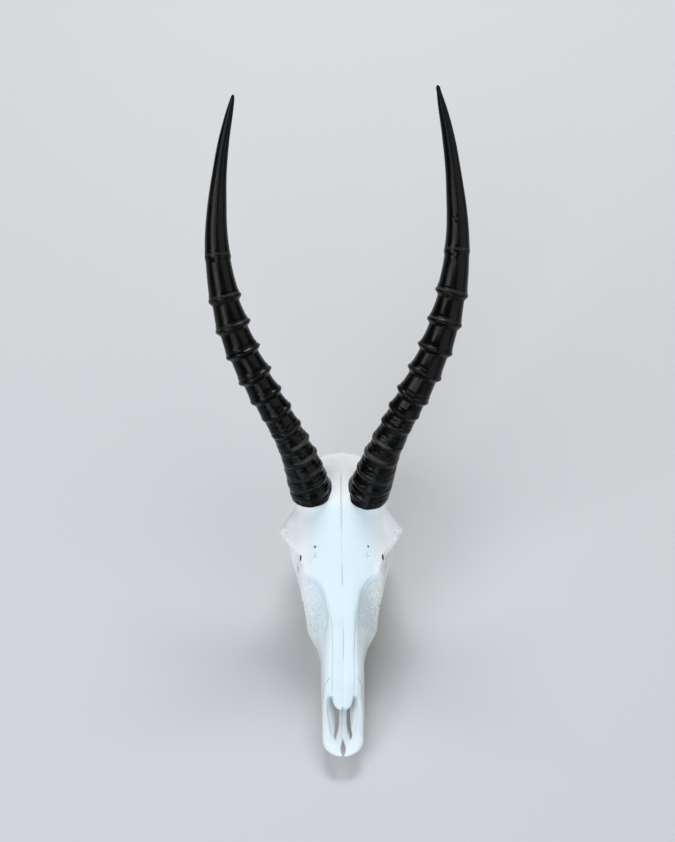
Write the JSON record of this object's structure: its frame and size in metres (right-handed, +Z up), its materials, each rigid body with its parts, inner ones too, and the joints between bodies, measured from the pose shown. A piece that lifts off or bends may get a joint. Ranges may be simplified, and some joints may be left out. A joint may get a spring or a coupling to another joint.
{
  "type": "blesbok skull with horns",
  "caption": "Bleached antelope skull with tall ringed black horns and upper cheek teeth, without its lower jaw, resting on its teeth.",
  "frame": {"origin": "On the resting surface, under the middle of the bounding box of skull and horns together.", "axes": "+Y runs from the tip of the nose back towards the nape, +X to the right of someone who faces the nose, +Z up from the surface that the teeth rest on."},
  "size_m": [0.2363, 0.4557, 0.4058],
  "materials": {
    "bone": "bleached dry bone, cool white, matt with a slight sheen",
    "horn": "near-black horn, ridged and dull low down, smoother with a soft gloss towards the tips",
    "tooth": "ivory enamel with a slight gloss"
  },
  "bodies": {
    "root": {"cranium": "bone", "horn_left": "horn", "horn_right": "horn", "premolar_2_left": "tooth", "premolar_3_left": "tooth", "premolar_4_left": "tooth", "molar_1_left": "tooth", "molar_2_left": "tooth", "molar_3_left": "tooth", "premolar_2_right": "tooth", "premolar_3_right": "tooth", "premolar_4_right": "tooth", "molar_1_right": "tooth", "molar_2_right": "tooth", "molar_3_right": "tooth"}
  },
  "joints": []
}
